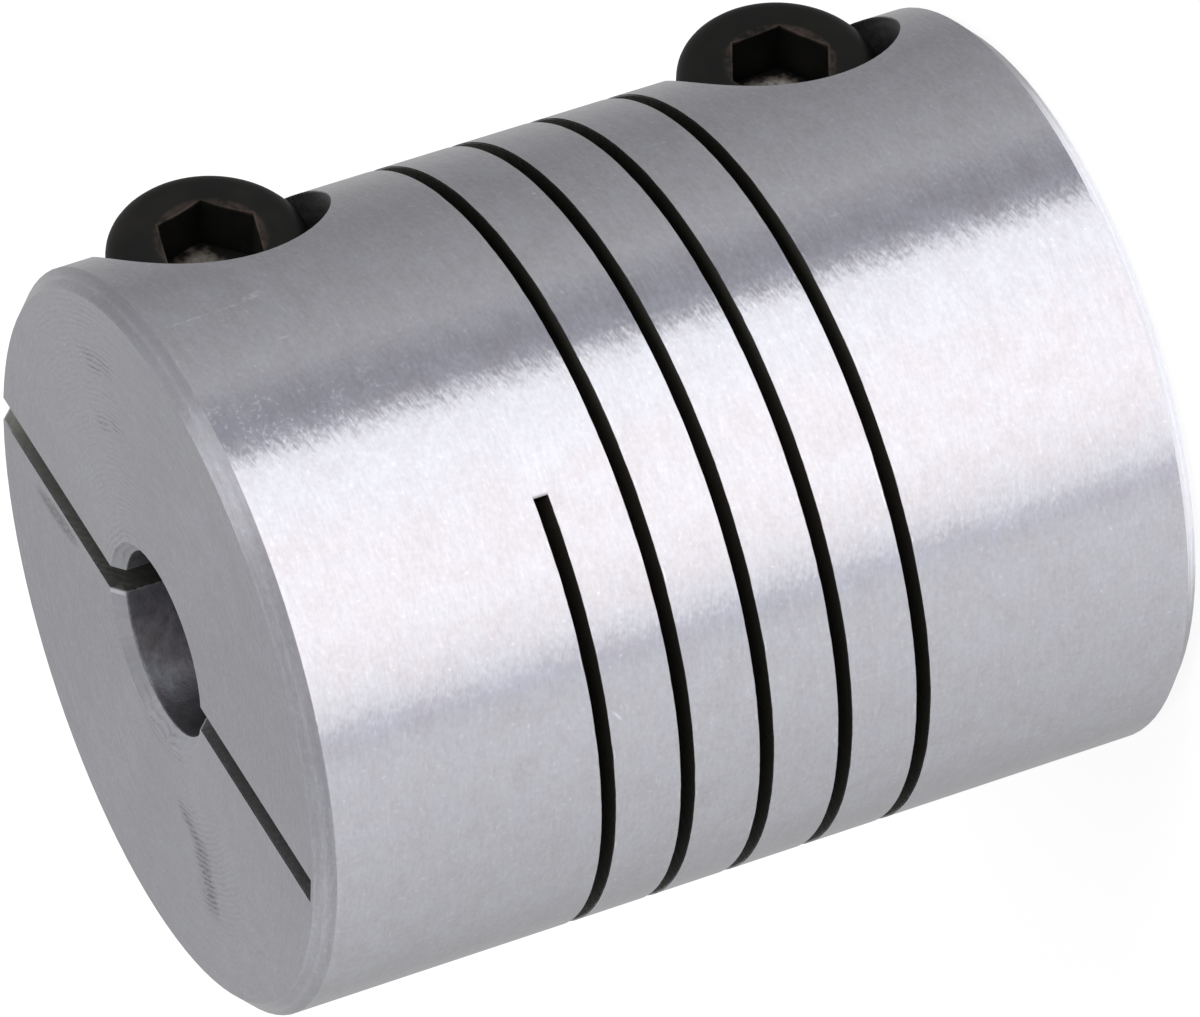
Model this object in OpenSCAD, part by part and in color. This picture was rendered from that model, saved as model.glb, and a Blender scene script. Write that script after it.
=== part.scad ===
// One-piece flexible shaft coupling, cut from solid bar, with two clamp screws.
// Millimetres. The coupling stands on its end: the shaft axis is Z, the lower
// end face is at z = 0, and the origin is on the axis.
// The clamp slits lie in the plane y = 0 and open towards +X. The screws run
// along Y, with their heads towards -Y.

/* [Body] */
// Outer diameter of the body
body_d = 20; // [18:0.5:26]
// Overall length of the body
body_len = 25; // [22:0.5:34]
// Shaft bore, both ends
bore_d = 5; // [4:0.05:6.35]
// Size of the 45 degree bevel on the outer edges
edge_bevel = 0.45; // [0.2:0.05:0.8]
// Size of the 45 degree bevel on the bore mouths
bore_bevel = 0.3; // [0.1:0.05:0.5]
// Depth of each hub, from its end face to the flexing part
hub_len = 7.5; // [6.8:0.1:9]
// How much wider than the shaft bore the relief inside the flexing part is
relief_extra = 1; // [0.4:0.1:1.6]

/* [Helical cut] */
// Width of the helical cut
cut_w = 0.4; // [0.3:0.05:0.8]
// Turns of the helical cut
cut_turns = 4.3; // [3:0.1:5]
// Direction of the upper end of the cut, from +X
cut_start = -128; // [-180:0.5:180]
// Diameter of the saw that made the cut; its arc shapes both ends
cut_saw_d = 25; // [16:1:40]

/* [Clamp slits] */
// Width of each clamp slit
slit_w = 0.8; // [0.5:0.05:1.2]
// Greatest depth of each slit, measured from its end face
slit_depth = 7; // [6:0.1:8]
// Wall left between the blind end of the slit and the outside
hinge_wall = 0.6; // [0.4:0.05:1.5]
// Diameter of the saw that made the slits
slit_saw_d = 50; // [40:1:80]

/* [Clamp screws] */
// Distance of each screw from its end face
screw_inset = 4.35; // [3.9:0.05:5]
// Distance of each screw from the outside of the body
screw_edge = 3.75; // [3.3:0.05:4.2]
// Thread diameter of the screws
screw_d = 3; // [2:0.5:3]
// Length of the screws under the head
screw_len = 10; // [8:1:12]
// Diameter of the screw heads
head_d = 5.4; // [4:0.1:5.7]
// Height of the screw heads
head_h = 3; // [2:0.1:3.2]
// Rounding of the upper edge of the heads
head_round = 0.6; // [0.2:0.05:0.7]
// Size of the hexagon socket across its flats
socket_af = 2.5; // [1.5:0.5:2.5]
// Depth of the hexagon socket
socket_depth = 1.5; // [1:0.1:1.7]
// Height of the top of the heads above the slit plane
head_top = 7.3; // [6.6:0.1:8]
// Diameter of the pockets that take the heads
pocket_d = 6.1; // [5.8:0.1:6.4]
// Turn of the upper screw's hexagon
upper_turn = 46.5; // [0:0.5:60]
// Turn of the lower screw's hexagon
lower_turn = 34.5; // [0:0.5:60]

/* [Hidden] */
$fn = 96;
body_r = body_d / 2;
bore_r = bore_d / 2;
relief_r = (bore_d + relief_extra) / 2;
screw_offset = body_r - screw_edge;
seat = head_top - head_h;
// Bevel on the tip of the screws
tip = 0.35;
// Depth of the slight countersink in the mouth of the hexagon socket
socket_mouth = 0.05;
// The drill point under the hexagon socket
drill_d = 1.8;
drill_depth = 0.5;
// Clearance hole through the near jaw, threaded hole in the far jaw
shank_hole_d = screw_d + 0.4;
thread_hole_d = screw_d + 0.04;
// The helical cut runs down from cut_top, one pitch to a turn
cut_top = body_len - hub_len - cut_w / 2;
pitch = (body_len - 2 * hub_len - cut_w) / cut_turns;
cut_span = 360 * cut_turns;
cut_steps = ceil(cut_turns * 72);
// The cutting saw sinks until its rim is just inside the relief. Its centre
// then lies at saw_c from the axis, and its rim leaves the body run_out
// degrees further on.
cut_floor = relief_r - 0.5;
saw_r = cut_saw_d / 2;
saw_c = cut_floor + saw_r;
run_out = acos((saw_c * saw_c + body_r * body_r - saw_r * saw_r) / (2 * saw_c * body_r)) - 2;

// Height of the saw's rim above the shaft axis, t degrees from full depth
function rim(t) = saw_c * cos(t) - sqrt(saw_r * saw_r - pow(saw_c * sin(t), 2));
// Inner radius of the cut, u degrees from its upper end
function cut_inner(u) = rim(max(0, run_out - min(u, cut_span - u)));
// Corners of the cut's section at step i
function section(i) =
    let (u = cut_span * i / cut_steps)
    let (a = cut_start - u)
    let (z = cut_top - pitch * u / 360)
    [for (c = [[cut_inner(u), -1], [body_r + 1, -1], [body_r + 1, 1], [cut_inner(u), 1]])
        [c[0] * cos(a), c[0] * sin(a), z + c[1] * cut_w / 2]];

// Both end faces carry the same features, so each is drawn for the upper end
// and mirrored for the lower one
module both_ends() {
    children();
    translate([0, 0, body_len]) mirror([0, 0, 1]) children();
}

module turned_blank() {
    rotate_extrude() polygon([
        [bore_r + bore_bevel, 0],
        [body_r - edge_bevel, 0],
        [body_r, edge_bevel],
        [body_r, body_len - edge_bevel],
        [body_r - edge_bevel, body_len],
        [bore_r + bore_bevel, body_len],
        [bore_r, body_len - bore_bevel],
        [bore_r, body_len - hub_len],
        [relief_r, body_len - hub_len],
        [relief_r, hub_len],
        [bore_r, hub_len],
        [bore_r, bore_bevel]
    ]);
}

module helical_cut() {
    rings = [for (i = [0:cut_steps]) section(i)];
    sides = [for (i = [0:cut_steps - 1]) for (k = [0:3])
        let (a = 4 * i + k, b = 4 * i + (k + 1) % 4)
        each [[a, b + 4, b], [a, a + 4, b + 4]]];
    last = 4 * cut_steps;
    caps = [[0, 1, 2], [0, 2, 3], [last, last + 2, last + 1], [last, last + 3, last + 2]];
    polyhedron([for (r = rings) each r], concat(sides, caps));
}

// Slit sawn from the +X side: the saw stops where its rim reaches the hinge
// wall at the end face, so the bottom of the slit keeps the saw's arc
module clamp_slit() {
    r = slit_saw_d / 2;
    lift = r - slit_depth;
    x = sqrt(r * r - lift * lift) - body_r + hinge_wall;
    translate([x, 0, body_len + lift]) rotate([90, 0, 0])
        cylinder(h = slit_w, r = r, center = true, $fn = 192);
    translate([x, -slit_w / 2, body_len - slit_depth])
        cube([body_r + 2, slit_w, slit_depth + 2]);
}

// Everything that goes towards +Z in here goes towards -Y on the coupling
module on_screw_axis() {
    translate([screw_offset, 0, body_len - screw_inset]) rotate([90, 0, 0]) children();
}

module screw_seat() {
    on_screw_axis() {
        translate([0, 0, seat]) cylinder(h = body_r, d = pocket_d);
        cylinder(h = body_r, d = shank_hole_d);
        translate([0, 0, -body_r]) cylinder(h = body_r + 0.1, d = thread_hole_d);
    }
}

module coupling_body() {
    color([0.74, 0.75, 0.78]) difference() {
        turned_blank();
        helical_cut();
        both_ends() {
            clamp_slit();
            screw_seat();
        }
    }
}

// Socket head screw on the Z axis, seated at z = 0 and pointing down
module screw_blank() {
    r = head_d / 2;
    flat_r = r - head_round;
    side_h = head_h - head_round;
    rotate_extrude() union() {
        polygon([[0, 0], [r, 0], [r, side_h], [flat_r, side_h], [flat_r, head_h], [0, head_h]]);
        translate([flat_r, side_h]) circle(head_round);
    }
    translate([0, 0, tip - screw_len]) cylinder(h = screw_len - tip + 1, d = screw_d);
    translate([0, 0, -screw_len]) cylinder(h = tip, d1 = screw_d - 2 * tip, d2 = screw_d);
}

module hexagon_socket(turn) {
    r = socket_af / 2;
    translate([0, 0, head_h - socket_depth]) rotate([0, 0, turn])
        cylinder(h = socket_depth + 1, r = r / cos(30), $fn = 6);
    mouth_r = r / cos(30) + 0.02;
    translate([0, 0, head_h - socket_mouth])
        cylinder(h = 2 * socket_mouth, r1 = r, r2 = 2 * mouth_r - r);
    translate([0, 0, head_h - socket_depth - drill_depth])
        cylinder(h = drill_depth + 0.01, d1 = 0.02, d2 = drill_d);
}

module clamp_screw(turn) {
    color([0.12, 0.12, 0.13]) on_screw_axis() translate([0, 0, seat]) difference() {
        screw_blank();
        hexagon_socket(turn);
    }
}

module upper_clamp_screw() {
    clamp_screw(upper_turn);
}

module lower_clamp_screw() {
    translate([0, 0, 2 * screw_inset - body_len]) clamp_screw(lower_turn);
}

coupling_body();
upper_clamp_screw();
lower_clamp_screw();
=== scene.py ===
"""Looks for the one-piece flexible shaft coupling: turned aluminium, black screws, a pale studio."""

import math
from types import SimpleNamespace

import bmesh
import bpy
from bpy.props import FloatProperty, FloatVectorProperty, PointerProperty
from mathutils import Matrix, Vector


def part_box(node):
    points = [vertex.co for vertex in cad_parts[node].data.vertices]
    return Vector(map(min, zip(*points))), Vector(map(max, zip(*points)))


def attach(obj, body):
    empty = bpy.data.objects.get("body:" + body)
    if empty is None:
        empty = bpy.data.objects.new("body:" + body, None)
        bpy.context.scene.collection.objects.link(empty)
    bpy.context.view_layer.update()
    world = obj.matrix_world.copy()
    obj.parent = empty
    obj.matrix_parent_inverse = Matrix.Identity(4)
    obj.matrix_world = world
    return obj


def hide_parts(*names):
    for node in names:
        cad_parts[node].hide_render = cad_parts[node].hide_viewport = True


bl_info = {
    "name": "Flexible coupling looks",
    "version": (1, 0, 0),
    "blender": (4, 5, 0),
    "location": "3D View > Sidebar > Coupling",
    "description": "Dresses the packed coupling and builds its studio",
    "category": "Object",
}

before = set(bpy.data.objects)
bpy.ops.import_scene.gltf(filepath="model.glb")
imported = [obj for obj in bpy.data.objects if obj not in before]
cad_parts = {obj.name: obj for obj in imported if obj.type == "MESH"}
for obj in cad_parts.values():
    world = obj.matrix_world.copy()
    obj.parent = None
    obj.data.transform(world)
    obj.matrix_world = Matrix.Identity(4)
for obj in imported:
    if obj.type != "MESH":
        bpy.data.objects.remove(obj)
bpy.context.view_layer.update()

MM = 0.001
# The body that every piece rides on
ROOT = "root"
# Steps in each turn of a thread, and the slope of its flanks
THREAD_STEPS = 24
FLANK = math.tan(math.radians(30))
# How deep the root of a thread is sunk in the metal that carries it, how far its crest stands out before it
# is trimmed, and how far it stops short of the outside of the body
SUNK, PROUD, SHORT = 0.04 * MM, 0.03 * MM, 0.03 * MM
# Edges sharper than this stay sharp
SMOOTH_ANGLE = math.radians(32)


# Shader maths


class Wire:
    """A number on its way through a material; Python's operators add Math nodes."""

    def __init__(self, shade, socket):
        self.shade, self.socket = shade, socket

    def _math(self, operation, *values):
        return self.shade.node("ShaderNodeMath", {"operation": operation}, dict(enumerate(values)))

    def __add__(self, other):
        return self._math("ADD", self, other)

    def __radd__(self, other):
        return self._math("ADD", other, self)

    def __sub__(self, other):
        return self._math("SUBTRACT", self, other)

    def __rsub__(self, other):
        return self._math("SUBTRACT", other, self)

    def __mul__(self, other):
        return self._math("MULTIPLY", self, other)

    def __truediv__(self, other):
        return self._math("DIVIDE", self, other)

    def __abs__(self):
        return self._math("ABSOLUTE", self)

    def __mod__(self, other):
        return self._math("FLOORED_MODULO", self, other)

    def least(self, other):
        return self._math("MINIMUM", self, other)

    def most(self, other):
        return self._math("MAXIMUM", self, other)

    def step(self, low, high):
        """0 below low and 1 above high, with a smooth rise; falls instead if low is the larger."""
        flip = low > high
        rise = self.shade.node(
            "ShaderNodeMapRange",
            {"interpolation_type": "SMOOTHSTEP"},
            {"Value": self, "From Min": min(low, high), "From Max": max(low, high)},
        )
        return 1.0 - rise if flip else rise


class Shade:
    """A material's node tree, written as expressions."""

    def __init__(self, name, tree=None):
        if tree is None:
            self.material = bpy.data.materials.new(name)
            self.material.use_nodes = True
            tree = self.material.node_tree
        self.tree = tree
        tree.nodes.clear()

    def node(self, kind, settings=None, inputs=None, out=0):
        """Adds one node: its settings first, then the values or links of its sockets."""
        made = self.tree.nodes.new(kind)
        for name, value in (settings or {}).items():
            if name == "stops":
                ramp = made.color_ramp
                while len(ramp.elements) < len(value):
                    ramp.elements.new(0.5)
                for stop, (place, colour) in zip(ramp.elements, value):
                    stop.position = place
                for stop, (place, colour) in zip(ramp.elements, value):
                    stop.color = (*colour, 1.0)
            else:
                setattr(made, name, value)
        for name, value in (inputs or {}).items():
            socket = made.inputs[name]
            if isinstance(value, Wire):
                self.tree.links.new(value.socket, socket)
            else:
                socket.default_value = value
        return Wire(self, made.outputs[out]) if made.outputs else None

    def split(self, vector):
        made = self.tree.nodes.new("ShaderNodeSeparateXYZ")
        self.tree.links.new(vector.socket, made.inputs[0])
        return [Wire(self, s) for s in made.outputs]

    def vector(self, x, y, z):
        return self.node("ShaderNodeCombineXYZ", None, {0: x, 1: y, 2: z})

    def noise(self, vector, scale, detail, roughness):
        return self.node(
            "ShaderNodeTexNoise",
            {"noise_dimensions": "3D"},
            {"Vector": vector, "Scale": scale, "Detail": detail, "Roughness": roughness},
        )

    def root(self, value):
        return self.node("ShaderNodeMath", {"operation": "SQRT"}, {0: value})

    def place(self):
        """A point's place in its object, in millimetres."""
        place = self.node("ShaderNodeTexCoord", out=3)
        return self.split(self.node("ShaderNodeVectorMath", {"operation": "SCALE"}, {0: place, "Scale": 1 / MM}))

    def turn(self, x, y):
        """Degrees round the Z axis, from +X."""
        return self.node("ShaderNodeMath", {"operation": "ARCTAN2"}, {0: y, 1: x}) * (180 / math.pi)

    def grey(self, colour):
        """The level of a grey colour, as a number."""
        return self.node("ShaderNodeSeparateColor", None, {0: colour})

    def mix(self, factor, a, b, blend="MIX"):
        """Colours a and b, mixed by factor."""
        return self.node(
            "ShaderNodeMix",
            {"data_type": "RGBA", "blend_type": blend},
            {0: factor, 6: a, 7: b},
            out=2,
        )

    def shaded(self, colour, tone):
        """A colour times a tone."""
        colour = colour if isinstance(colour, Wire) else rgb(*colour)
        return self.mix(1.0, colour, self.vector(tone, tone, tone), "MULTIPLY")

    def seen(self):
        """1 for rays from the camera, for reflections and for rays that pass through, otherwise 0."""
        ways = self.tree.nodes.new("ShaderNodeLightPath").outputs
        kinds = ("Camera", "Glossy", "Transmission")
        camera, glossy, through = (Wire(self, ways[f"Is {kind} Ray"]) for kind in kinds)
        return camera.most(glossy).most(through)


def rgb(r, g, b):
    return (r, g, b, 1.0)


# Sizes and colours that a user would change


def size(name, text, millimetres):
    return FloatProperty(name=name, description=text, default=millimetres * MM, unit="LENGTH")


def angle(name, text, degrees):
    return FloatProperty(name=name, description=text, default=math.radians(degrees), subtype="ANGLE")


def tint(name, text, levels):
    return FloatVectorProperty(
        name=name, description=text, default=levels, subtype="COLOR", size=3, min=0, max=1
    )


class BodyLook(bpy.types.PropertyGroup):
    outer_radius: size("Body radius", "Radius of the turned body", 10.0)
    length: size("Body length", "Overall length of the body", 25.0)
    bore_radius: size("Bore radius", "Radius of the shaft bore", 2.5)
    edge_bevel: size("Edge bevel", "Bevel on the outer edges", 0.45)
    bore_bevel: size("Bore bevel", "Bevel on the bore mouths", 0.3)
    cut_width: size("Cut width", "Width of the helical cut", 0.4)
    cut_pitch: size("Cut pitch", "Pitch of the helical cut", 9.6 / 4.3)
    cut_top: size("Cut top", "Height of the middle of the cut at its upper end", 17.3)
    cut_bottom: size("Cut bottom", "Height of the middle of the cut at its lower end", 7.7)
    cut_start: angle("Cut start", "Direction of the upper end of the cut, from +X", -128)
    ring_pitch: size("Facing pitch", "Spacing of the tool's rings on the end faces", 0.155)
    # Painted reflection: the tool's rings are darkened only in fans round these two directions
    wide_fan_reflection: angle("Wide fan", "Direction of the wide fan of tool marks, from +X", -55)
    narrow_fan_reflection: angle("Narrow fan", "Direction of the narrow fan of tool marks, from +X", 121)
    roughness: FloatProperty(
        name="Roughness", description="Roughness of the turned surface", default=0.24, min=0, max=1
    )
    aluminium: tint("Aluminium", "Colour of the turned aluminium", (0.595, 0.595, 0.635))
    # Colours below the skin, which the material darkens further as painted shade
    bore: tint("Bore", "Colour of the reamed bore", (0.50, 0.48, 0.535))
    bore_patch: tint("Bore patch", "Colour of the cooler patches in the bore", (0.42, 0.48, 0.53))
    blunt: tint("Blunt bevel", "Colour of the dull bevel on the bore mouths", (0.33, 0.33, 0.35))
    slit_wall_shade: tint("Slit walls", "Colour of the sawn slit walls", (0.20, 0.198, 0.188))
    hinge_wall_shade: tint("Hinge walls", "Colour of the slit walls on the hinge side", (0.222, 0.216, 0.222))
    # Painted shade: near black inside the narrow helical cut, also painted over its ragged edges
    cut_wall_shade: tint("Cut walls", "Colour inside the helical cut", (0.060, 0.057, 0.048))
    bore_thread: size("Tapped hole radius", "Inner radius of the thread in the far jaws", 1.25)


class ScrewLook(bpy.types.PropertyGroup):
    head_height: size("Head height", "Height of the screw heads", 3.0)
    head_round: size("Head rounding", "Rounding of the upper edge of the heads", 0.6)
    socket_width: size("Socket width", "Size of the hexagon socket across its flats", 2.5)
    socket_depth: size("Socket depth", "Depth of the hexagon socket", 1.5)
    socket_mouth: size("Socket mouth", "Depth of the countersink in the mouth of the socket", 0.05)
    drill_radius: size("Drill radius", "Radius of the drill point under the socket", 0.9)
    drill_depth: size("Drill depth", "Depth of the drill point", 0.5)
    thread_radius: size("Thread radius", "Outer radius of the thread", 1.5)
    thread_core: size("Thread core", "Radius at the bottom of the thread", 1.21)
    thread_pitch: size("Thread pitch", "Pitch of the thread", 0.5)
    tip_bevel: size("Tip bevel", "Bevel on the tip of the screws", 0.35)
    upper_turn: angle("Upper turn", "Turn of the upper screw's hexagon", 46.5)
    lower_turn: angle("Lower turn", "Turn of the lower screw's hexagon", 34.5)
    black: tint("Black oxide", "Colour of the blackened screws", (0.0091, 0.0093, 0.0088))
    # Painted highlights: the brownish mouth and edge of the socket, and the pale patch on its floor
    highlit: tint("Rubbed mouth", "Colour of the rubbed steel round the sockets", (0.046, 0.034, 0.029))
    lit_rim: tint("Rubbed rim", "Colour of the hexagon's own edge", (0.10, 0.072, 0.058))
    lit: tint("Worn floor", "Colour of the worn floor of the hexagon sockets", (0.30, 0.26, 0.22))
    bright: tint("Bare floor", "Colour of the floor where the steel is bare", (0.85, 0.82, 0.80))


class StudioLook(bpy.types.PropertyGroup):
    azimuth: angle("Camera azimuth", "Turn of the view, 0 looks along +Y", -41.683)
    elevation: angle("Camera elevation", "Height of the view above level", 19.3675)
    roll: angle("Camera roll", "Turn of the camera about its own axis", -107.743)
    distance: size("Camera distance", "Distance from the aim point", 311.33)
    aim: FloatVectorProperty(
        name="Aim point",
        description="Point in the middle of the picture",
        default=(-0.0905 * MM, 0.0314 * MM, 12.3955 * MM),
        subtype="XYZ",
        unit="LENGTH",
        size=3,
    )
    lens: FloatProperty(
        name="Lens", description="Focal length in millimetres on a 36 mm sensor", default=360.72
    )
    dome_radius: size("Dome radius", "Radius of the light dome that the metal reflects", 160)
    floor_size: size("Floor size", "Side of the pale floor", 3000)


# Modelling helpers


def only(piece):
    """Makes a piece the active object and the only one selected."""
    bpy.ops.object.select_all(action="DESELECT")
    bpy.context.view_layer.objects.active = piece
    piece.select_set(True)


def primitive(kind, **settings):
    """Adds a primitive and returns its object."""
    bpy.ops.object.select_all(action="DESELECT")
    getattr(bpy.ops.mesh, f"primitive_{kind}_add")(**settings)
    return bpy.context.object


def pick(kind, test):
    """In edit mode, selects the vertices or edges whose every vertex passes the test."""
    bpy.ops.mesh.select_mode(type=kind)
    bpy.ops.mesh.select_all(action="DESELECT")
    mesh = bpy.context.object.data
    form = bmesh.from_edit_mesh(mesh)
    for part in {"VERT": form.verts, "EDGE": form.edges}[kind]:
        corners = [part] if kind == "VERT" else part.verts
        part.select_set(all(test(v.co) for v in corners))
    form.select_flush_mode()
    bmesh.update_edit_mesh(mesh)


def settle(piece):
    """Puts a piece's place, turn and scale into its mesh."""
    only(piece)
    bpy.ops.object.transform_apply(location=True, rotation=True, scale=True)


def twin(piece, name):
    """A copy of a piece, with its own mesh."""
    copy = piece.copy()
    copy.data = piece.data.copy()
    copy.name = name
    bpy.context.scene.collection.objects.link(copy)
    return copy


def combine(piece, tool, operation):
    """Cuts, joins or trims a piece by a tool, which is used up."""
    step = piece.modifiers.new("combine", "BOOLEAN")
    step.operation, step.object, step.solver = operation, tool, "EXACT"
    only(piece)
    bpy.ops.object.modifier_apply(modifier=step.name)
    bpy.data.objects.remove(tool, do_unlink=True)


def ridge(base, crest, base_half, crest_half, pitch, bottom, turns):
    """A helical ridge of trapezoid section about the Z axis, closed at both ends."""
    piece = primitive("plane", size=1.0, location=(0, 0, 0))
    bpy.ops.object.mode_set(mode="EDIT")
    corners = {
        (-1, -1): (base, -base_half),
        (1, -1): (crest, -crest_half),
        (1, 1): (crest, crest_half),
        (-1, 1): (base, base_half),
    }
    # Moved corners are lifted out of reach of the next pick
    lift = 10
    for (across, along), (radius, rise) in corners.items():
        pick("VERT", lambda co: co.x * across > 0.1 and co.y * along > 0.1 and abs(co.z) < 1e-9)
        bpy.ops.transform.translate(value=(radius - across / 2, -along / 2, lift + bottom + rise))
    bpy.ops.mesh.select_all(action="SELECT")
    bpy.ops.transform.translate(value=(0, 0, -lift))
    bpy.ops.mesh.delete(type="ONLY_FACE")
    bpy.ops.object.mode_set(mode="OBJECT")
    settle(piece)
    screw = piece.modifiers.new("screw", "SCREW")
    screw.axis, screw.screw_offset, screw.iterations = "Z", pitch, turns
    screw.steps = screw.render_steps = THREAD_STEPS
    bpy.ops.object.modifier_apply(modifier=screw.name)
    bpy.ops.object.mode_set(mode="EDIT")
    bpy.ops.mesh.select_all(action="DESELECT")
    bpy.ops.mesh.select_mode(type="EDGE")
    bpy.ops.mesh.select_non_manifold(extend=False)
    bpy.ops.mesh.fill()
    bpy.ops.mesh.select_all(action="SELECT")
    bpy.ops.mesh.normals_make_consistent(inside=False)
    bpy.ops.object.mode_set(mode="OBJECT")
    return piece


# Materials: places are in millimetres and degrees, and strengths are shares of the tone

# Sine of 45 degrees, for the distance from a bevel
SLOPE = 0.7071
# Mean tone of the turned metal, and how much each noise moves it
MEAN_TONE = 0.965
FINE_TONE, LINES_TONE, CLOUD_TONE, GRAIN_TONE = 0.17, 0.06, 0.19, 0.14
# How much each kind of lighter mark adds to it: glints, the burrs' glints and the fleck glints are painted
# highlights, nicks and scratches are marks in the metal
GLINT, NICK, BURR_GLINT, SCRATCH, FLECK_GLINT = 0.08, 0.18, 0.22, 0.3, 0.3
# How much the tool's rings take away in each place, and the dark core of the narrow fan; the rings are real, but
# their showing only in two fans, and the dark core, are painted reflection
WIDE, TAIL, COLLAR, HEAVY, ANYWHERE, CORE = 0.15, 0.15, 0.17, 0.32, 0.012, 0.60
# Clusters of heavy rings in the wide fan: radius, and the half widths between which they fade
HEAVY_RINGS = ((7.75, 0.40, 0.15), (6.1, 0.32, 0.12))
# The dark smudge beside the slit: middle, half sizes, slope and strength
SMUDGE_X, SMUDGE_Y, SMUDGE_LONG, SMUDGE_WIDE, SMUDGE_SLOPE, SMUDGE = 6.1, 0.28, 1.6, 0.34, 0.09, 0.5
# Scratches on the side: direction and height of both ends, half width, and least and added strength
SCRATCHES = (
    (-82.7, 24.0, -82.4, 22.05, 0.06, 0.15, 0.5),
    (-82.0, 22.0, -81.3, 21.5, 0.16, 0.25, 0.6),
    (-91.7, 21.8, -91.9, 21.6, 0.07, 0.7, 0.0),
    (-162.2, 16.71, -163.6, 16.54, 0.06, 1.0, 0.0),
)
# Tone across the outer bevel, from the end face to the side, with 0.5 as it is beside it
BEVEL_LINES = (
    (0.0, 0.5), (0.12, 0.5), (0.17, 0.54), (0.24, 0.48), (0.40, 0.47), (0.50, 0.57),
    (0.58, 0.48), (0.72, 0.41), (0.82, 0.44), (0.88, 0.53), (1.0, 0.5),
)


def body_places(s, look):
    """Where a point of the body lies, what kind of surface it is on, and the noises that every mark shares."""
    at = SimpleNamespace()
    at.x, at.y, at.z = s.place()
    at.radius, at.length, at.bore = look.outer_radius / MM, look.length / MM, look.bore_radius / MM
    at.r = s.root(at.x * at.x + at.y * at.y).most(0.001)
    at.turn = s.turn(at.x, at.y)
    at.from_middle = abs(at.z - at.length / 2)
    at.from_end = at.length / 2 - at.from_middle
    at.from_side = at.radius - at.r
    at.across = at.from_end + at.r
    at.round_x, at.round_y = at.x / at.r, at.y / at.r

    at.bevel, bore_bevel = look.edge_bevel / MM, look.bore_bevel / MM
    mouth = at.bore + bore_bevel
    to_mouth = abs(at.across - mouth) * SLOPE
    to_edge = (at.from_side + at.from_end - at.bevel) * SLOPE
    at.buried = at.from_side.least(at.from_end).least(to_edge).least(to_mouth).step(0.015, 0.06)
    at.face = at.from_end.step(0.03, 0.005)
    at.side = at.from_side.step(0.03, 0.005)
    at.ring = at.r.step(mouth + 0.03, mouth) * at.from_end.step(bore_bevel + 0.04, bore_bevel + 0.01)
    relief = at.r.step(at.bore + 0.56, at.bore + 0.52) * at.from_middle.step(5.1, 4.9)
    at.in_bore = at.r.step(at.bore + 0.06, at.bore + 0.02).most(relief)

    def strokes(along, width, detail, seed=0.0):
        """Noise drawn out round the axis, by its length and width at the outside."""
        k = at.radius / along
        return s.noise(s.vector(at.round_x * k + seed, at.round_y * k, at.across / width), 1.0, detail, 0.6)

    at.fine = strokes(0.33, 0.085, 1.0)
    at.lines = strokes(1.3, 0.22, 0.0, seed=5.0)
    at.grain = s.noise(s.vector(at.x, at.y, at.z), 8.0, 1.0, 0.6)
    at.cloud = s.noise(s.vector(at.x, at.y, at.z), 1.0, 3.0, 0.68)
    at.broken = at.grain.step(0.38, 0.62)
    return at


def helical_edges(s, at, look):
    """The slightly ragged edges of the helical cut, drawn in the cut's painted shade, and the burrs beside them,
    lighter as painted highlight.
    """
    pitch, top, bottom = look.cut_pitch / MM, look.cut_top / MM, look.cut_bottom / MM
    phase = (at.z - top) / pitch + (math.degrees(look.cut_start) - at.turn) / 360
    off = ((phase + 0.5) % 1.0 - 0.5) * pitch
    centre = at.z - off
    in_cut = centre.step(top + 0.004, top - 0.002) * centre.step(bottom - 0.004, bottom + 0.002)
    ragged = s.noise(s.vector(at.round_x * 11.0, at.round_y * 11.0, at.z * 0.9), 1.0, 2.0, 0.65)
    lip = abs(off) - look.cut_width / MM / 2
    # Painted shade: the cut's near black spills over its ragged edges
    edge = (lip - (ragged - 0.42) * 0.07).step(0.012, -0.016) * in_cut * at.side
    # Painted highlight: a broken lighter line on the burrs beside the cut
    burr_glint = (lip - 0.045).step(0.045, 0.0) * ragged.step(0.60, 0.68) * in_cut * at.side
    return edge, burr_glint


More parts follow.
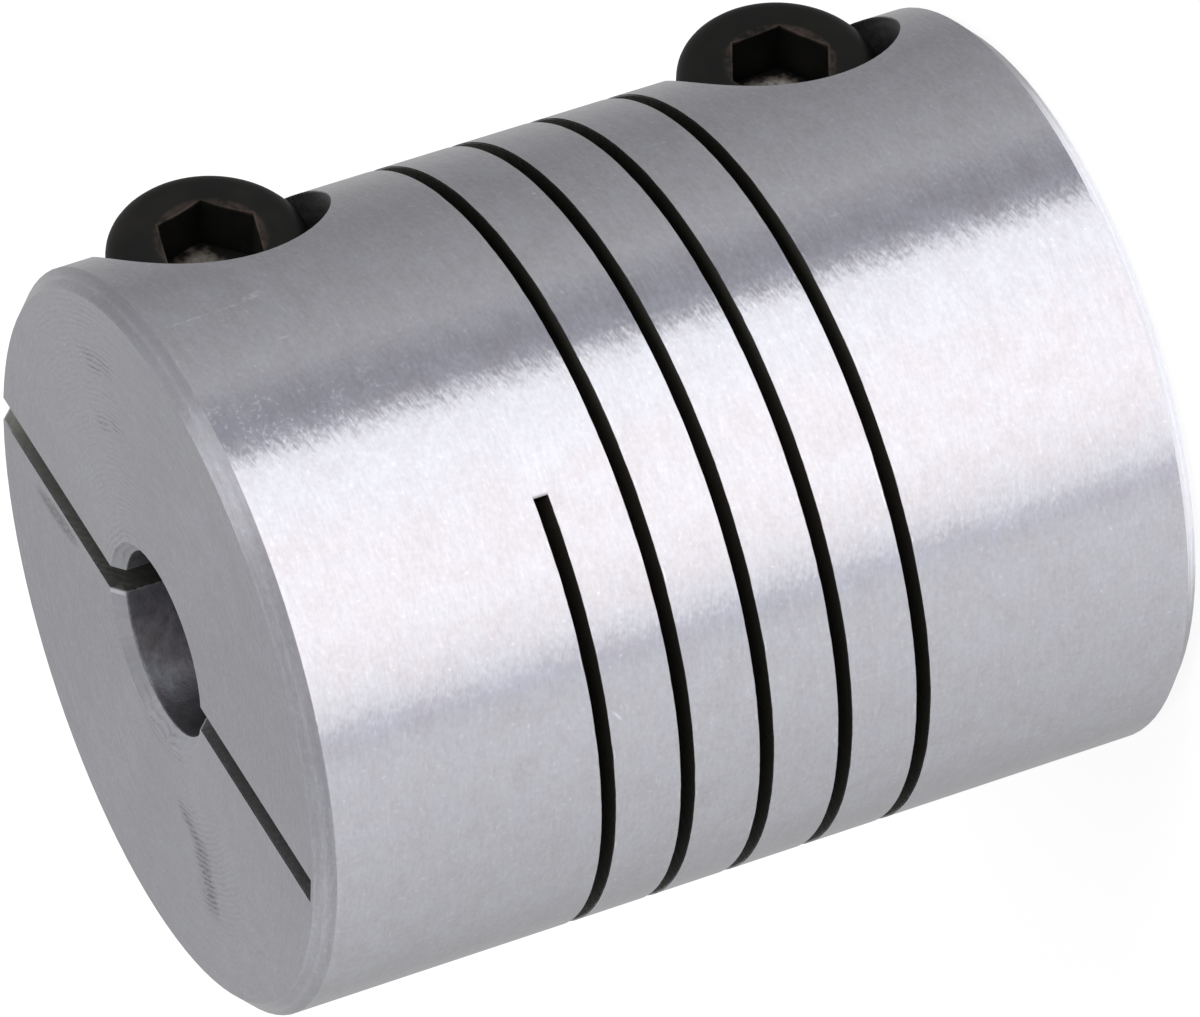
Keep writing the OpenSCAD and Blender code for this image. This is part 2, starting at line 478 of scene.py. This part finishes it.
def ring_marks_and_fan_shade(s, at, look):
    """The tool's rings on the end faces, darkened only in two fans and round the bore as painted reflection, with a
    dark core painted in the narrow fan, and a dark smudge beside the slit.
    """

    def swing(direction):
        """Degrees round the axis from a direction, negative on one side of it."""
        return (at.turn - math.degrees(direction) + 180) % 360 - 180

    def partly(share):
        """Breaks a mark up, by a share of its strength."""
        return (1 - share) + at.broken * share

    wave = (at.r + at.cloud * 0.4) * (2 * math.pi / (look.ring_pitch / MM))
    rings = s.node("ShaderNodeMath", {"operation": "SINE"}, {0: wave}).step(-0.2, 0.9)
    from_wide = swing(look.wide_fan_reflection)
    from_core = swing(look.narrow_fan_reflection) + (5.4 - at.r).most(0.0) * 9.0 + (at.cloud - 0.5) * 12.0

    wide = abs(from_wide).step(34, 6) * at.cloud.step(0.43, 0.60) * partly(0.6)
    first, second = (abs(at.r - radius).step(outer, inner) for radius, outer, inner in HEAVY_RINGS)
    heavy = abs(from_wide + 6).step(10, 3) * (first + second) * at.cloud.step(0.36, 0.50)
    core = abs(from_core).step(6.5, 0.5) * at.r.step(4.2, 4.9) * at.r.step(7.7, 6.9)
    core = core * (0.45 + rings * 0.55) * partly(0.4)
    tail = from_core.step(-9.0, 2.0) * from_core.step(36.0, 4.0) * at.r.step(4.0, 4.6) * at.r.step(8.4, 6.6)
    tail = tail * partly(0.75)
    collar = at.r.step(3.35, 3.1) * (abs(from_wide - 15).step(30, 15) + abs(from_core).step(35, 15)) * partly(0.7)

    span = at.r.step(2.8, 2.9) * at.r.step(9.55, 9.3)
    shown = wide * WIDE + tail * TAIL + collar * COLLAR + heavy * HEAVY + ANYWHERE
    # Painted reflection: rings darkened in the fans, with the dark core
    fan_ring_shade = at.face * span * (rings * shown + core * CORE)
    along, away = (at.x - SMUDGE_X) / SMUDGE_LONG, (at.y - SMUDGE_Y - at.x * SMUDGE_SLOPE) / SMUDGE_WIDE
    smudge = at.face * (along * along + away * away).step(1.0, 0.1) * partly(0.65)
    return fan_ring_shade + smudge * SMUDGE, rings * (0.02 + collar * 0.22)


def side_scratches_and_glints(at):
    """Scratches on the side, and painted highlights as fleck glints near its upper end."""
    arc = math.radians(1) * at.radius
    around = at.turn * arc
    marks = 0.0
    for turn_a, z_a, turn_b, z_b, width, least, added in SCRATCHES:
        long_x, long_z = (turn_b - turn_a) * arc, z_b - z_a
        reach = math.hypot(long_x, long_z)
        ux, uz = long_x / reach, long_z / reach
        dx, dz = around - (turn_a + turn_b) / 2 * arc, at.z - (z_a + z_b) / 2
        along, away = abs(dx * ux + dz * uz), abs(dx * uz - dz * ux)
        line = away.step(width, width * 0.2) * along.step(reach / 2 + 0.1, reach / 2 - 0.1)
        marks = line * (at.broken * added + least) + marks
    # Painted highlight: fleck glints in a narrow strip near the upper end
    fleck_glints = at.grain.step(0.58, 0.70) * at.cloud.step(0.46, 0.58)
    fleck_glints = fleck_glints * abs(at.turn + 105).step(6.5, 2.5) * at.z.step(17.0, 23.5)
    return (marks * SCRATCH + fleck_glints * FLECK_GLINT) * at.side


def turned_metal(s, at, look, burr_glint):
    """Colour of the turned skin, with its marks."""
    fan_shade, mouth_ring_shade = ring_marks_and_fan_shade(s, at, look)
    over = (at.from_end - at.from_side + at.bevel) / (2 * at.bevel)
    stops = [(place, (level, level, level)) for place, level in BEVEL_LINES]
    bevel_line = s.grey(s.node("ShaderNodeValToRGB", {"stops": stops}, {0: (over + 0.2) / 1.4}))
    bevel_tone = 1.0 + (bevel_line - 0.5) * (0.5 + at.cloud)

    tone = MEAN_TONE + (at.fine - 0.5) * FINE_TONE + (at.lines - 0.5) * LINES_TONE
    tone = tone + (at.cloud - 0.5) * CLOUD_TONE + (at.grain - 0.5) * GRAIN_TONE
    tone = tone + at.fine.step(0.70, 0.80) * GLINT + at.grain.step(0.72, 0.80) * NICK + burr_glint * BURR_GLINT
    tone = (tone + side_scratches_and_glints(at) - fan_shade) * bevel_tone

    # Painted highlight on the slit's lip where it crosses the bore bevel
    slit_burr_glint = abs(at.y - 0.46).step(0.09, 0.03) * abs(at.x - 2.7).step(0.30, 0.15)
    # Painted reflection: the rings darken the bore bevel where the fans reach it
    blunt = tone + slit_burr_glint * 0.6 - mouth_ring_shade - abs(at.turn - 58).step(24, 8) * at.cloud * 0.3
    metal = s.mix(at.ring, s.shaded(look.aluminium, tone), s.shaded(look.blunt, blunt))
    hue = s.mix(at.cloud.step(0.35, 0.65), rgb(1.0, 0.985, 1.0), rgb(0.985, 0.995, 1.02))
    return s.mix(1.0, metal, hue, "MULTIPLY")


def inner_wall_shade(s, at, look):
    """Colour below the skin, darkened as painted shade: the bore, the screws' pockets and tapped holes, the slits,
    and the helical cut near black.
    """
    patch = at.cloud.step(0.52, 0.68)
    jaw_edge = (abs(at.y) - 0.40).step(0.07, 0.0) * at.grain.step(0.35, 0.60)
    # Painted shade: the bore darkened, with cooler patches and lighter lines along the slit's edges
    bore_shade_tone = 0.39 + patch * 0.07 + (at.cloud - 0.5) * 0.2 + (at.lines - 0.5) * 0.16
    bore_shade_tone = bore_shade_tone + (at.grain - 0.5) * 0.12 + jaw_edge * 0.3
    bore = s.shaded(s.mix(patch * 0.5, rgb(*look.bore), rgb(*look.bore_patch)), bore_shade_tone)

    low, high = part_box("upper_clamp_screw")
    from_screw = at.x - (low.x + high.x) / 2 / MM
    from_line = at.from_middle - ((low.z + high.z) / 2 / MM - at.length / 2)
    apart = from_screw * from_screw + from_line * from_line
    pocket = apart.step(3.3 ** 2, 3.12 ** 2) * at.y.step(-0.8, -1.2)
    tapped = apart.step(1.75 ** 2, 1.62 ** 2) * at.y.step(0.8, 1.2)
    # Painted shade: pockets and tapped holes darkened to about a sixth of the aluminium
    hole = s.shaded(look.aluminium, 0.17 + (at.grain - 0.5) * 0.25 + (at.lines - 0.5) * 0.2)

    in_slit = abs(at.y).step(0.45, 0.41) * at.from_middle.step(5.3, 5.45)
    # Painted shade: the slit walls darker deep inside, lighter towards the outside
    slit_shade_tone = 0.98 + at.x.step(2.0, 6.0) * 0.4 + at.x.step(6.0, 10.0) * 0.35 + (at.grain - 0.5) * 0.7
    slit = s.shaded(s.mix(at.x.step(2.0, -2.0), rgb(*look.slit_wall_shade), rgb(*look.hinge_wall_shade)), slit_shade_tone)

    wall = s.mix(in_slit, rgb(*look.cut_wall_shade), slit)
    wall = s.mix(pocket.most(tapped), wall, hole)
    return s.mix(at.in_bore, wall, bore)


def aluminium_material(look):
    """Satin turned aluminium: short strokes round the axis, tool rings on the ends shown in painted reflection fans,
    scratches, painted highlights, and painted shade on the walls below the skin.
    """
    s = Shade("turned_aluminium")
    at = body_places(s, look)
    cut_edge_shade, burr_glint = helical_edges(s, at, look)
    # Everything below the skin takes the painted shade of the inner walls
    colour = s.mix(at.buried, turned_metal(s, at, look, burr_glint), inner_wall_shade(s, at, look))
    # Painted shade of the cut along its edges
    colour = s.mix(cut_edge_shade, colour, rgb(*look.cut_wall_shade))
    rough = look.roughness + (at.cloud - 0.5) * 0.08 + at.buried * 0.24 + at.ring * 0.4
    height = at.fine + at.lines * 1.6
    shader = s.node(
        "ShaderNodeBsdfPrincipled",
        None,
        {
            "Base Color": colour,
            "Metallic": 1.0 - at.ring * (1.0 - at.buried),
            "Roughness": rough,
            "Normal": s.node("ShaderNodeBump", None, {"Strength": 0.5, "Distance": 0.000016, "Height": height}),
            "Anisotropic": 0.85,
            "Anisotropic Rotation": 0.25,
        },
    )
    s.node("ShaderNodeOutputMaterial", None, {0: shader})
    return s.material


# How the screws differ: strength of the painted highlight on the socket's floor, place of that highlight from the
# middle of the floor, and tone of the black, darker on the lower screw as painted shade
SCREW_GLINT_AND_SHADE = {"upper": (0.7, (0.47, 0.10), 0.95), "lower": (1.2, (0.39, -0.06), 0.6)}


def screw_material(end, look, turn):
    """Black oxide, with a brownish painted highlight round the hexagon's mouth and edge, and a painted highlight on
    the socket's floor.
    """
    shine_share, shift, level = SCREW_GLINT_AND_SHADE[end]
    s = Shade(f"black_oxide_{end}")
    low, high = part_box(f"{end}_clamp_screw")
    x, y, z = s.place()
    across, up, depth = x - (low.x + high.x) / 2 / MM, z - (low.z + high.z) / 2 / MM, y - low.y / MM
    r = s.root(across * across + up * up)

    def flat(number):
        """Distance from the middle towards one pair of the hexagon's flats."""
        direction = turn + math.radians(30 + 60 * number)
        return abs(across * math.cos(direction) + up * math.sin(direction))

    half, socket = look.socket_width / MM / 2, look.socket_depth / MM
    corner = half / math.cos(math.radians(30))
    hexagon = flat(0).most(flat(1)).most(flat(2)) - half
    cloud = s.noise(s.vector(x, y, z), 0.9, 3.0, 0.6)
    grain = s.noise(s.vector(x, y, z), 6.0, 2.0, 0.6)
    top = depth.step(0.12, 0.06)
    # Painted highlights along the hexagon's edge and round its mouth
    lit_rim = (hexagon - 0.02).step(0.05, 0.0) * hexagon.step(-0.03, 0.0) * top * cloud.step(0.35, 0.60)
    mouth = r.step(corner + 0.10, corner - 0.04) * top * hexagon.step(0.0, 0.03)
    floor = depth.step(socket - 0.04, socket - 0.02) * depth.step(2.3, 2.2) * hexagon.step(0.03, 0.0)

    # Each screw's black is scaled by its tone; the lower screw's darker tone is painted shade
    dark = rgb(*[c * 0.8 * level for c in look.black])
    brown = rgb(*[c * w * level for c, w in zip(look.black, (1.38, 1.28, 1.22))])
    black = s.mix(cloud.step(0.35, 0.65), dark, brown)
    highlit = grain.step(0.35, 0.65) * 0.6 + cloud.step(0.40, 0.60) * 0.6
    black = s.mix(highlit * mouth, black, rgb(*look.highlit))
    black = s.mix(lit_rim * 0.6, black, rgb(*look.lit_rim))

    # Painted highlight: a pale patch on the socket's floor, brightest off its middle
    spot_x, spot_z = across - shift[0], up - shift[1]
    glint_spot = s.root(spot_x * spot_x + spot_z * spot_z) + (cloud - 0.5) * 1.2 + (grain - 0.5) * 0.5
    drilled = abs(r - look.drill_radius / MM).step(0.10, 0.02)
    shining = (grain.step(0.42, 0.58) * 0.6 + drilled * 0.2) * shine_share * glint_spot.step(0.8, 0.3)
    floor = floor * glint_spot.step(half - 0.35, half - 0.80)
    colour = s.mix(floor, black, s.mix(shining.least(1.0), rgb(*look.lit), rgb(*look.bright)))
    height = grain * 0.6 + cloud
    shader = s.node(
        "ShaderNodeBsdfPrincipled",
        None,
        {
            "Base Color": colour,
            "Roughness": 0.40 + cloud * 0.12 + floor * 0.1,
            "Normal": s.node("ShaderNodeBump", None, {"Strength": 0.25, "Distance": 0.00001, "Height": height}),
            "Specular IOR Level": 0.16,
        },
    )
    s.node("ShaderNodeOutputMaterial", None, {0: shader})
    return s.material


def dress(piece, material):
    """Gives a piece one material in place of those it has."""
    piece.data.materials.clear()
    piece.data.materials.append(material)


def make_head(look, radius):
    """A screw head without its socket, on the Z axis with its seat at z = 0."""
    height = look.head_height
    head = primitive("cylinder", vertices=96, radius=radius, depth=height, location=(0, 0, height / 2))
    settle(head)
    bpy.ops.object.mode_set(mode="EDIT")
    pick("EDGE", lambda co: co.z > height * 0.99)
    bpy.ops.mesh.bevel(offset=look.head_round, segments=8, profile=0.5, affect="EDGES", clamp_overlap=False)
    pick("EDGE", lambda co: co.z < height * 0.01)
    bpy.ops.mesh.bevel(offset=radius * 0.02, segments=2, profile=0.5, affect="EDGES", clamp_overlap=False)
    bpy.ops.object.mode_set(mode="OBJECT")
    return head


def cut_socket(head, look, turn):
    """The hexagon socket, with the slight countersink in its mouth and the drill point in its floor."""
    half = look.socket_width / 2
    corner = half / math.cos(math.radians(30))
    height, floor, fit = look.head_height, look.head_height - look.socket_depth, 0.01 * MM
    hexagon = dict(vertices=6, radius=corner, depth=height, rotation=(0, 0, turn + math.radians(30)))
    mouth = dict(vertices=96, radius1=half, radius2=2 * (corner + 2 * fit) - half, depth=2 * look.socket_mouth)
    drill = dict(vertices=48, radius1=fit, radius2=look.drill_radius, depth=look.drill_depth + fit)
    tools = (
        ("cylinder", hexagon, floor + height / 2),
        ("cone", mouth, height),
        ("cone", drill, floor + (fit - look.drill_depth) / 2),
    )
    for kind, settings, middle in tools:
        tool = primitive(kind, location=(0, 0, middle), **settings)
        settle(tool)
        combine(head, tool, "DIFFERENCE")


def make_shank(look, length):
    """The threaded shank: a core with a helical ridge round it, trimmed to the bevelled blank."""
    pitch, crest, core = look.thread_pitch, look.thread_radius, look.thread_core
    over, under = crest + PROUD, core - SUNK
    base_half, crest_half = pitch / 16 + (crest - under) * FLANK, pitch / 16 - (over - crest) * FLANK
    shank = ridge(under, over, base_half, crest_half, pitch, -length - pitch, math.ceil(length / pitch) + 2)
    rod = primitive("cylinder", vertices=48, radius=core, depth=length + 2 * pitch, location=(0, 0, -length / 2))
    settle(rod)
    combine(shank, rod, "UNION")
    into_head = 0.2 * MM
    middle = (into_head - length) / 2
    blank = primitive("cylinder", vertices=64, radius=crest, depth=length + into_head, location=(0, 0, middle))
    settle(blank)
    bpy.ops.object.mode_set(mode="EDIT")
    pick("EDGE", lambda co: co.z < -length * 0.99)
    bpy.ops.mesh.bevel(offset=look.tip_bevel, segments=1, affect="EDGES", clamp_overlap=False)
    bpy.ops.object.mode_set(mode="OBJECT")
    combine(shank, blank, "INTERSECT")
    return shank


def make_screw(end, turn, head, shank, look):
    """Joins a head, with its socket, to a shank, and lays the screw in its hole."""
    node = f"{end}_clamp_screw"
    low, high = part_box(node)
    head.name = f"{end}_socket_screw"
    cut_socket(head, look, turn)
    only(head)
    shank.select_set(True)
    bpy.ops.object.join()
    head.rotation_euler = (math.pi / 2, 0, 0)
    head.location = ((low.x + high.x) / 2, low.y + look.head_height, (low.z + high.z) / 2)
    settle(head)
    bpy.ops.object.shade_smooth_by_angle(angle=SMOOTH_ANGLE)
    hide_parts(node)
    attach(head, ROOT)
    return head


def make_hole_thread(body, screws):
    """The thread in the upper far jaw, from the screw's tip to the outside of the body."""
    low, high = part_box("upper_clamp_screw")
    pitch, wall = screws.thread_pitch, screws.thread_radius + SUNK
    start = high.y + 0.1 * pitch
    turns = math.ceil((body.outer_radius - start) / pitch)
    base_half = pitch / 8 + (wall - body.bore_thread) * FLANK
    piece = ridge(wall, body.bore_thread, base_half, pitch / 8, pitch, 0.0, turns)
    piece.name = "upper_hole_thread"
    piece.rotation_euler = (-math.pi / 2, 0, 0)
    piece.location = ((low.x + high.x) / 2, start + pitch / 2, (low.z + high.z) / 2)
    settle(piece)
    inside = body.outer_radius - SHORT
    turned = primitive("cylinder", vertices=256, radius=inside, depth=body.length, location=(0, 0, body.length / 2))
    settle(turned)
    combine(piece, turned, "INTERSECT")
    only(piece)
    bpy.ops.object.shade_smooth_by_angle(angle=SMOOTH_ANGLE)
    return piece


class COUPLING_OT_turn_body(bpy.types.Operator):
    """Gives the coupling body its turned aluminium, and cuts the threads in its far jaws"""

    bl_idname = "coupling.turn_body"
    bl_label = "Turned body"

    def execute(self, context):
        look, screws = context.scene.coupling_body, context.scene.coupling_screws
        aluminium = aluminium_material(look)
        dress(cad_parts["coupling_body"], aluminium)
        upper = make_hole_thread(look, screws)
        lower = twin(upper, "lower_hole_thread")
        lower.location.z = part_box("lower_clamp_screw")[0].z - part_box("upper_clamp_screw")[0].z
        settle(lower)
        for thread in (upper, lower):
            dress(thread, aluminium)
            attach(thread, ROOT)
        return {"FINISHED"}


class COUPLING_OT_make_screws(bpy.types.Operator):
    """Models both clamp screws, with their threads and sockets"""

    bl_idname = "coupling.make_screws"
    bl_label = "Clamp screws"

    def execute(self, context):
        look = context.scene.coupling_screws
        low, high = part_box("upper_clamp_screw")
        head = make_head(look, (high.x - low.x) / 2)
        shank = make_shank(look, high.y - low.y - look.head_height)
        spare_head, spare_shank = twin(head, "head"), twin(shank, "shank")
        upper = make_screw("upper", look.upper_turn, head, shank, look)
        lower = make_screw("lower", look.lower_turn, spare_head, spare_shank, look)
        dress(upper, screw_material("upper", look, look.upper_turn))
        dress(lower, screw_material("lower", look, look.lower_turn))
        return {"FINISHED"}


# Tints of the light dome's panels
PLAIN, COOL, WARM = (1.0, 1.0, 0.99), (0.985, 0.99, 1.07), (1.03, 0.995, 0.97)
# The panels round the object: degrees from the camera's side, level, tint
PANELS = (
    (-180, 0.50, PLAIN), (-150, 0.48, PLAIN), (-120, 0.66, PLAIN), (-90, 0.78, PLAIN),
    (-60, 0.89, PLAIN), (-47, 0.90, PLAIN), (-44, 0.80, COOL), (-40, 0.86, COOL),
    (-36, 1.23, PLAIN), (-26, 1.42, WARM), (-12, 1.58, WARM), (12, 1.58, WARM),
    (30, 1.54, PLAIN), (42, 1.47, PLAIN), (46, 0.48, COOL), (56, 0.38, COOL),
    (70, 0.60, PLAIN), (86, 0.50, PLAIN), (100, 0.44, PLAIN), (120, 0.355, PLAIN),
    (140, 0.405, PLAIN), (165, 0.50, PLAIN), (180, 0.50, PLAIN),
)
# Levels of the dome above and below the panels
CEILING, GROUND = 0.25, 0.80
# Gap that keeps the floor clear of the coupling, the floor's own grey, and its glow where it is seen
FLOOR_GAP, FLOOR_GREY, FLOOR_GLOW = 0.02 * MM, 0.30, 0.78
# Light of the world, and what is added where it is seen
WORLD_LIGHT, WORLD_SEEN = 0.8, 0.2


class COUPLING_OT_set_studio(bpy.types.Operator):
    """Builds the floor, the light dome, the world and the camera"""

    bl_idname = "coupling.set_studio"
    bl_label = "Studio"

    def execute(self, context):
        look = context.scene.coupling_studio
        view = (-math.sin(look.azimuth), math.cos(look.azimuth))
        camera_side = math.degrees(math.atan2(-view[1], -view[0]))

        bpy.ops.mesh.primitive_plane_add(size=look.floor_size, location=(0, 0, -FLOOR_GAP))
        floor = context.object
        floor.name = "floor"
        s = Shade("pale_floor")
        paper = s.node("ShaderNodeBsdfDiffuse", None, {"Color": rgb(FLOOR_GREY, FLOOR_GREY, FLOOR_GREY)})
        glow = s.node("ShaderNodeEmission", None, {"Color": rgb(1, 1, 1), "Strength": s.seen() * FLOOR_GLOW})
        both = s.node("ShaderNodeAddShader", None, {0: paper, 1: glow})
        s.node("ShaderNodeOutputMaterial", None, {0: both})
        floor.data.materials.append(s.material)
        floor.visible_glossy = False

        bpy.ops.mesh.primitive_uv_sphere_add(segments=96, ring_count=48, radius=look.dome_radius, location=(0, 0, 0))
        dome = context.object
        dome.name = "light_dome"
        bpy.ops.object.shade_smooth()
        t = Shade("dome_panels")
        x, y, z = t.split(t.node("ShaderNodeTexCoord", out=3))
        turn = t.turn(x, y) - (camera_side - 180)
        stops = [((degrees + 180) / 360, [level * c / 2 for c in hue]) for degrees, level, hue in PANELS]
        around = t.node("ShaderNodeValToRGB", {"stops": stops}, {0: (turn % 360.0) / 360.0})
        height = z / look.dome_radius
        above, below = height.step(0.55, 0.85), height.step(-0.62, -0.86)
        level = t.mix(above, around, rgb(CEILING, CEILING, CEILING))
        level = t.mix(below, level, rgb(GROUND, GROUND, GROUND))
        panels = t.node("ShaderNodeEmission", None, {"Color": level, "Strength": 2.0})
        t.node("ShaderNodeOutputMaterial", None, {0: panels})
        t.material.cycles.emission_sampling = "NONE"
        dome.data.materials.append(t.material)
        dome.visible_camera = dome.visible_diffuse = False
        dome.visible_shadow = dome.visible_volume_scatter = False

        world = bpy.data.worlds.new("studio")
        context.scene.world = world
        world.use_nodes = True
        w = Shade("studio", world.node_tree)
        strength = WORLD_LIGHT + w.seen() * WORLD_SEEN
        back = w.node("ShaderNodeBackground", None, {"Color": rgb(1, 1, 1), "Strength": strength})
        w.node("ShaderNodeOutputWorld", None, {0: back})
        world.cycles.sampling_method = "NONE"

        lamp = bpy.data.lights.new("softbox", "AREA")
        lamp.shape, lamp.size, lamp.size_y, lamp.energy = "RECTANGLE", 0.25, 0.25, 0.6
        softbox = bpy.data.objects.new("softbox", lamp)
        context.scene.collection.objects.link(softbox)
        softbox.location = (0.05, -0.30, 0.35)
        softbox.rotation_euler = (-softbox.location).to_track_quat("-Z", "Y").to_euler()

        lens = bpy.data.cameras.new("camera")
        lens.lens, lens.sensor_width, lens.sensor_fit = look.lens, 36.0, "HORIZONTAL"
        lens.clip_start, lens.clip_end = 0.01, 10.0
        camera = bpy.data.objects.new("camera", lens)
        context.scene.collection.objects.link(camera)
        level = math.cos(look.elevation)
        ahead = Vector((view[0] * level, view[1] * level, -math.sin(look.elevation)))
        side = ahead.cross(Vector((0, 0, 1))).normalized()
        above = side.cross(ahead)
        place = Matrix((side, above, -ahead)).transposed().to_4x4()
        place.translation = Vector(look.aim) - ahead * look.distance
        camera.matrix_world = place @ Matrix.Rotation(look.roll, 4, "Z")
        context.scene.camera = camera
        context.scene.view_settings.view_transform = "Standard"
        return {"FINISHED"}


class COUPLING_PT_panel(bpy.types.Panel):
    """Lists the steps that dress the coupling"""

    bl_label = "Coupling"
    bl_space_type = "VIEW_3D"
    bl_region_type = "UI"
    bl_category = "Coupling"

    def draw(self, context):
        for step in STEPS:
            self.layout.operator(step.bl_idname)
        scene = context.scene
        for group in (scene.coupling_body, scene.coupling_screws, scene.coupling_studio):
            for name in group.__annotations__:
                self.layout.prop(group, name)


STEPS = (COUPLING_OT_turn_body, COUPLING_OT_make_screws, COUPLING_OT_set_studio)
CLASSES = (BodyLook, ScrewLook, StudioLook, *STEPS, COUPLING_PT_panel)


def register():
    for c in CLASSES:
        bpy.utils.register_class(c)
    bpy.types.Scene.coupling_body = PointerProperty(type=BodyLook)
    bpy.types.Scene.coupling_screws = PointerProperty(type=ScrewLook)
    bpy.types.Scene.coupling_studio = PointerProperty(type=StudioLook)


def unregister():
    del bpy.types.Scene.coupling_studio, bpy.types.Scene.coupling_screws, bpy.types.Scene.coupling_body
    for c in reversed(CLASSES):
        bpy.utils.unregister_class(c)


def main():
    register()
    bpy.ops.object.select_all(action="DESELECT")
    for step in STEPS:
        group, name = step.bl_idname.split(".")
        getattr(getattr(bpy.ops, group), name)()


if __name__ == "__main__":
    main()
